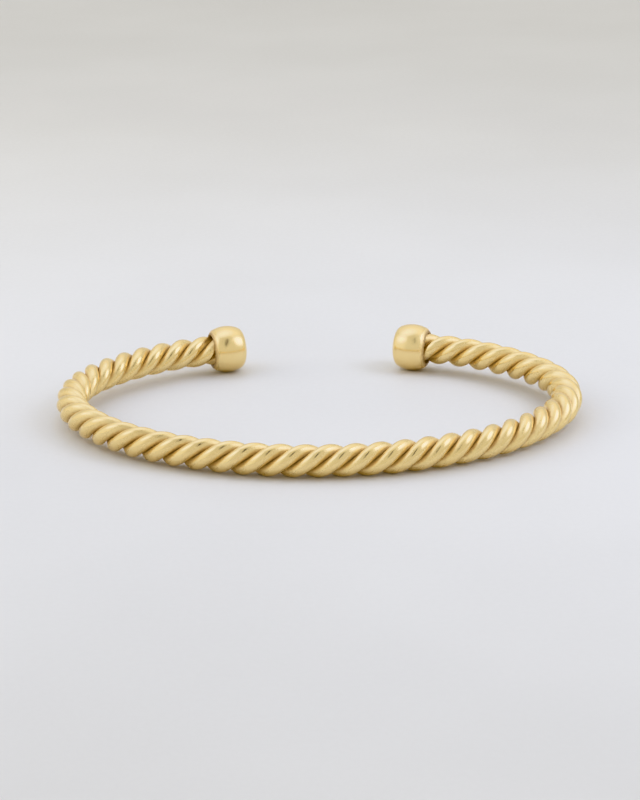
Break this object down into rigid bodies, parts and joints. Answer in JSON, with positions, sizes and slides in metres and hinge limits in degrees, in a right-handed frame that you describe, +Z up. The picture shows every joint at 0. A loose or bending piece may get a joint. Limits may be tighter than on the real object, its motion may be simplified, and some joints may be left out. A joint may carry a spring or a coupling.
{
  "type": "twisted rope cuff bracelet",
  "caption": "Open oval cuff bracelet of round strands twisted into a rope, with a domed barrel cap on each end.",
  "frame": {"origin": "on the ground below the middle of the cuff, which lies on its side as on a table", "axes": "+Z up, through the hollow for the wrist; +X to the right along the cuff's width; +Y to the back, where the opening between the end caps is"},
  "size_m": [0.0674, 0.0478, 0.0062],
  "materials": {
    "gold": "polished yellow gold"
  },
  "bodies": {
    "root": {"strand_1": "gold", "strand_2": "gold", "strand_3": "gold", "end_cap_left": "gold", "end_cap_right": "gold"}
  },
  "joints": []
}
